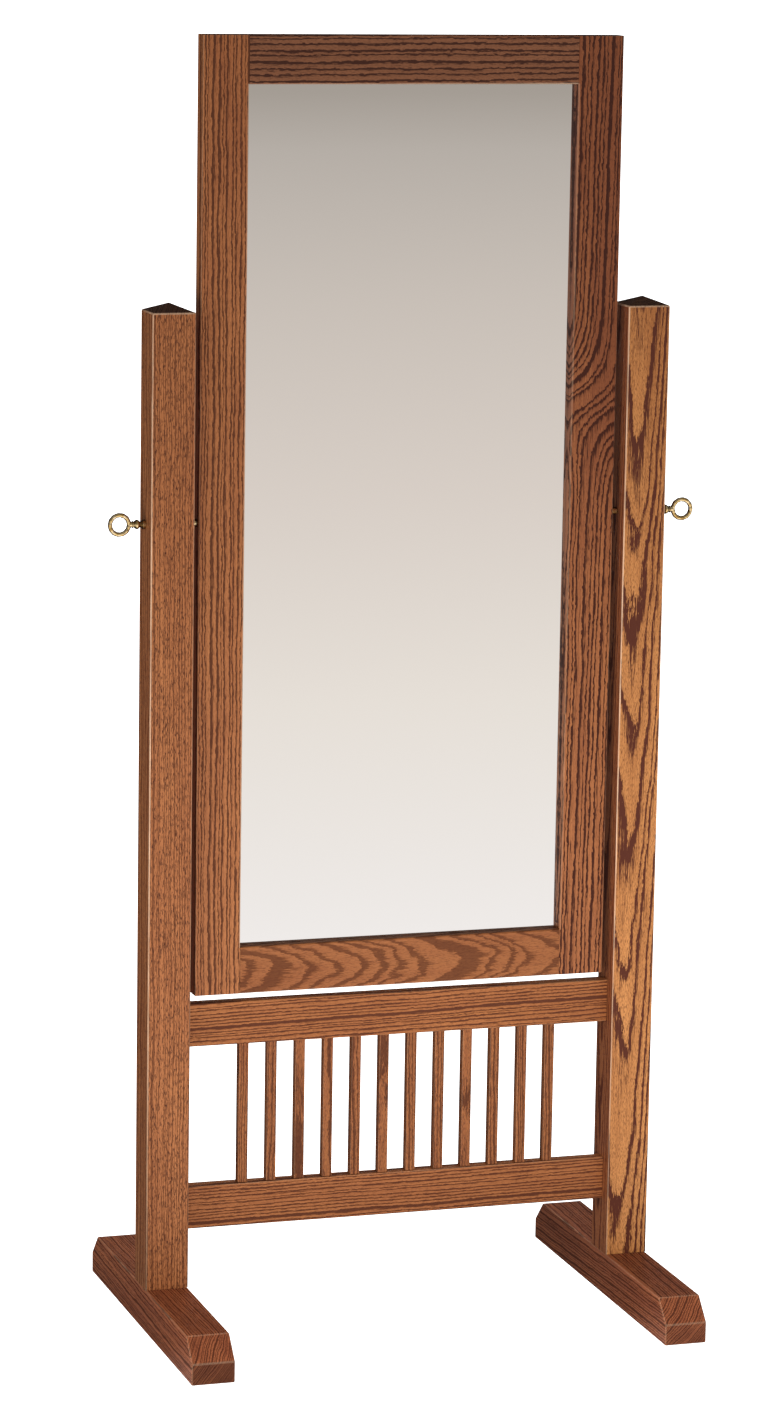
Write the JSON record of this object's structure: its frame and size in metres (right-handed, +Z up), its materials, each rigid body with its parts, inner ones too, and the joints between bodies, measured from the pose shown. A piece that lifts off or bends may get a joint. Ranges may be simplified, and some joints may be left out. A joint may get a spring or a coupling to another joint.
{
  "type": "cheval floor mirror",
  "caption": "Tall framed mirror that tilts on ring screws between two square posts, on flat feet joined by two rails with square spindles.",
  "frame": {"origin": "on the floor, under the middle of the stand, below the tilt axis", "axes": "+Z up; +X to the viewer's right along the tilt axis; +Y away from the viewer, from the glass towards the backing"},
  "size_m": [0.793, 0.51, 1.6764],
  "materials": {
    "oak": "open-grained red oak, medium orange-brown stain under satin lacquer",
    "mirror_glass": "flat silvered glass",
    "plywood": "bare thin plywood",
    "brass": "cast and lightly polished",
    "zinc_steel": "bright zinc plate"
  },
  "bodies": {
    "stand": {"left_foot": "oak", "right_foot": "oak", "left_post": "oak", "right_post": "oak", "left_spacer": "brass", "right_spacer": "brass", "left_front_foot_bolt": "zinc_steel", "left_rear_foot_bolt": "zinc_steel", "right_front_foot_bolt": "zinc_steel", "right_rear_foot_bolt": "zinc_steel", "left_front_bolt_washer": "zinc_steel", "left_rear_bolt_washer": "zinc_steel", "right_front_bolt_washer": "zinc_steel", "right_rear_bolt_washer": "zinc_steel", "upper_rail": "oak", "lower_rail": "oak", "spindle_01": "oak", "spindle_02": "oak", "spindle_03": "oak", "spindle_04": "oak", "spindle_05": "oak", "spindle_06": "oak", "spindle_07": "oak", "spindle_08": "oak", "spindle_09": "oak", "spindle_10": "oak", "spindle_11": "oak", "spindle_12": "oak"},
    "mirror": {"left_stile": "oak", "right_stile": "oak", "frame_top_rail": "oak", "frame_bottom_rail": "oak", "mirror_glass": "mirror_glass", "backing_panel": "plywood", "left_threaded_insert": "brass", "right_threaded_insert": "brass", "backing_screw_01": "zinc_steel", "backing_screw_02": "zinc_steel", "backing_screw_03": "zinc_steel", "backing_screw_04": "zinc_steel", "backing_screw_05": "zinc_steel", "backing_screw_06": "zinc_steel", "backing_screw_07": "zinc_steel", "backing_screw_08": "zinc_steel", "backing_screw_09": "zinc_steel", "backing_screw_10": "zinc_steel"},
    "left_washer": {"left_ring_washer": "brass"},
    "left_screw": {"left_ring_screw": "brass"},
    "right_washer": {"right_ring_washer": "brass"},
    "right_screw": {"right_ring_screw": "brass"}
  },
  "joints": [
    {"name": "mirror_tilt", "type": "hinge", "parent": "stand", "child": "mirror", "pos_m": [0, 0, 1.05965], "axis": [1, 0, 0], "continuous": true},
    {"name": "left_washer_slide", "type": "slide", "parent": "stand", "child": "left_washer", "axis": [-1, 0, 0], "range_m": [0, 0.00254]},
    {"name": "left_screw_turn", "type": "hinge", "parent": "left_washer", "child": "left_screw", "pos_m": [-0.347, 0, 1.05965], "axis": [-1, 0, 0], "range_deg": [0, 720]},
    {"name": "right_washer_slide", "type": "slide", "parent": "stand", "child": "right_washer", "axis": [1, 0, 0], "range_m": [0, 0.00254]},
    {"name": "right_screw_turn", "type": "hinge", "parent": "right_washer", "child": "right_screw", "pos_m": [0.347, 0, 1.05965], "axis": [1, 0, 0], "range_deg": [0, 720]}
  ],
  "couplings": [
    {"joint": "left_screw_turn", "follows": "left_washer_slide", "rad_per_m": 4947.3},
    {"joint": "right_screw_turn", "follows": "right_washer_slide", "rad_per_m": 4947.3}
  ]
}
